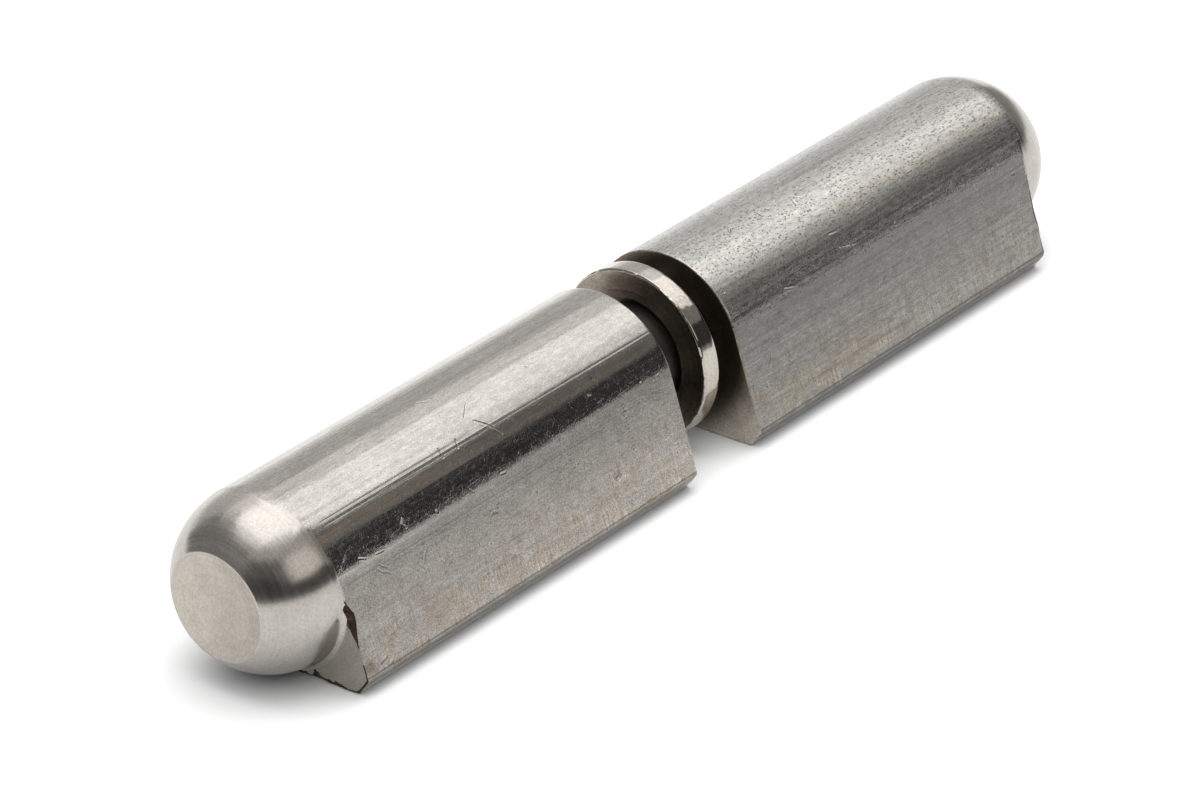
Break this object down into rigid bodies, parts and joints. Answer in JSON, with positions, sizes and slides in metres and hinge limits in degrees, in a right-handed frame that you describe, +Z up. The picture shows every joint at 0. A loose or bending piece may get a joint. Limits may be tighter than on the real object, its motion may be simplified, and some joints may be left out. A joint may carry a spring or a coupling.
{
  "type": "weld on barrel hinge",
  "caption": "Lift-off barrel hinge with teardrop weld-on halves, domed ends, a through pin and a loose thrust washer, lying flat and drawn slightly apart.",
  "frame": {"origin": "on the floor under the middle of the hinge, halfway along its length and across its width as it lies drawn apart", "axes": "+X along the pin from the lower half to the upper half, +Z up, -Y towards the weld tips of the wings"},
  "size_m": [0.1068, 0.0182, 0.016],
  "materials": {
    "drawn_stainless": "cold-drawn stainless bar with turned domes, lightly scratched and pitted",
    "turned_stainless": "turned stainless washer with a bright bevelled rim",
    "ground_pin": "plain dull steel pin"
  },
  "bodies": {
    "lower_half": {"lower_barrel": "drawn_stainless"},
    "pin": {"hinge_pin": "ground_pin"},
    "washer": {"thrust_washer": "turned_stainless"},
    "upper_half": {"upper_barrel": "drawn_stainless"}
  },
  "joints": [
    {"name": "swing", "type": "hinge", "parent": "lower_half", "child": "pin", "pos_m": [0, 0.00107, 0.008], "axis": [1, 0, 0], "continuous": true},
    {"name": "washer_slide", "type": "slide", "parent": "pin", "child": "washer", "axis": [1, 0, 0], "range_m": [-0.0042, 0.0021]},
    {"name": "lift_off", "type": "slide", "parent": "washer", "child": "upper_half", "axis": [1, 0, 0], "range_m": [-0.0021, 0.03]}
  ]
}
